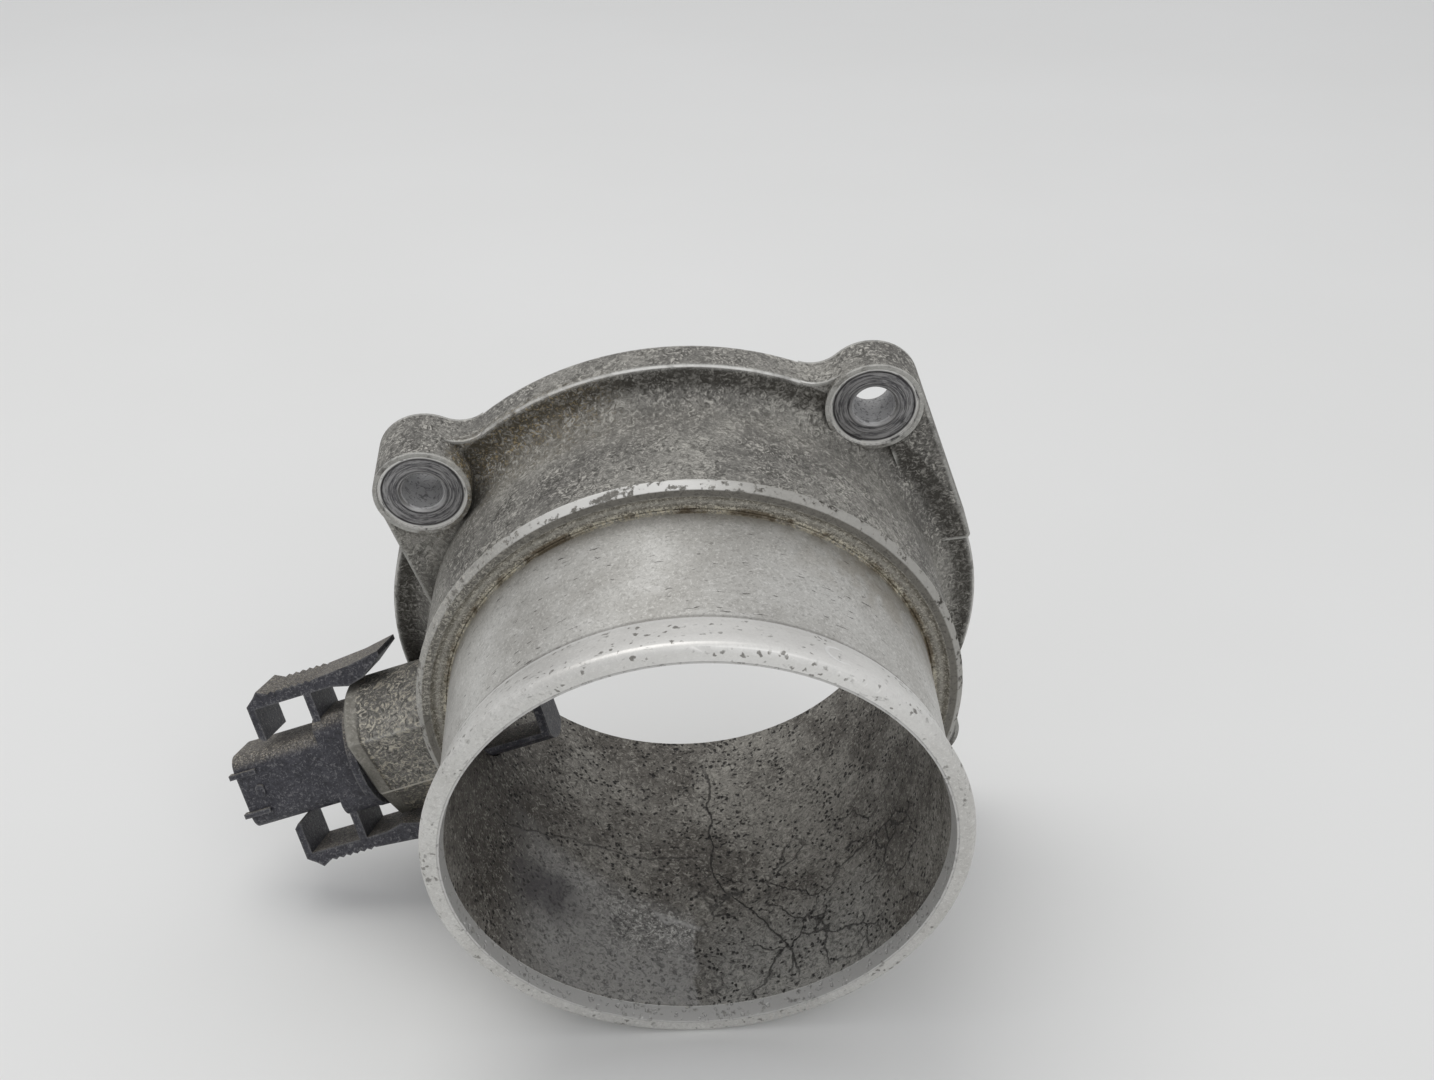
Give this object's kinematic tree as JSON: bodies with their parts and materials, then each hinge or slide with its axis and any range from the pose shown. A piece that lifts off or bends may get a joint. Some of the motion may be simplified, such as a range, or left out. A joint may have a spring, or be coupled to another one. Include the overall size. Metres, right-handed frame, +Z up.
{
  "type": "intake pipe",
  "caption": "Short cast intake duct with a hose bead at one end, a bolted flange at the other and a plug-in air temperature sensor in its side.",
  "frame": {"origin": "centre of the bolt circle on the flange's machined rear face, with the pipe lying as it rests on a bench: on the hose bead and the flange rim", "axes": "+Z up from the bench, +X to the right of someone who looks into the hose end, +Y away from them along the bench; the duct leans 8.9 degrees, hose end down towards -Y"},
  "size_m": [0.1347, 0.0795, 0.1038],
  "materials": {
    "cast_aluminium": "sand-cast grey with machined seats, worn and dusty",
    "sensor_plastic": "matt moulded, dusty",
    "seal_rubber": "matt",
    "terminal_metal": "tinned",
    "bead_resin": "dipped resin",
    "lead_wire": "bare wire"
  },
  "bodies": {
    "root": {"pipe_casting": "cast_aluminium", "sensor_housing": "sensor_plastic", "sensor_seal": "seal_rubber", "terminal_upper": "terminal_metal", "terminal_lower": "terminal_metal", "thermistor_bead": "bead_resin", "thermistor_lead_upper": "lead_wire", "thermistor_lead_lower": "lead_wire"}
  },
  "joints": []
}
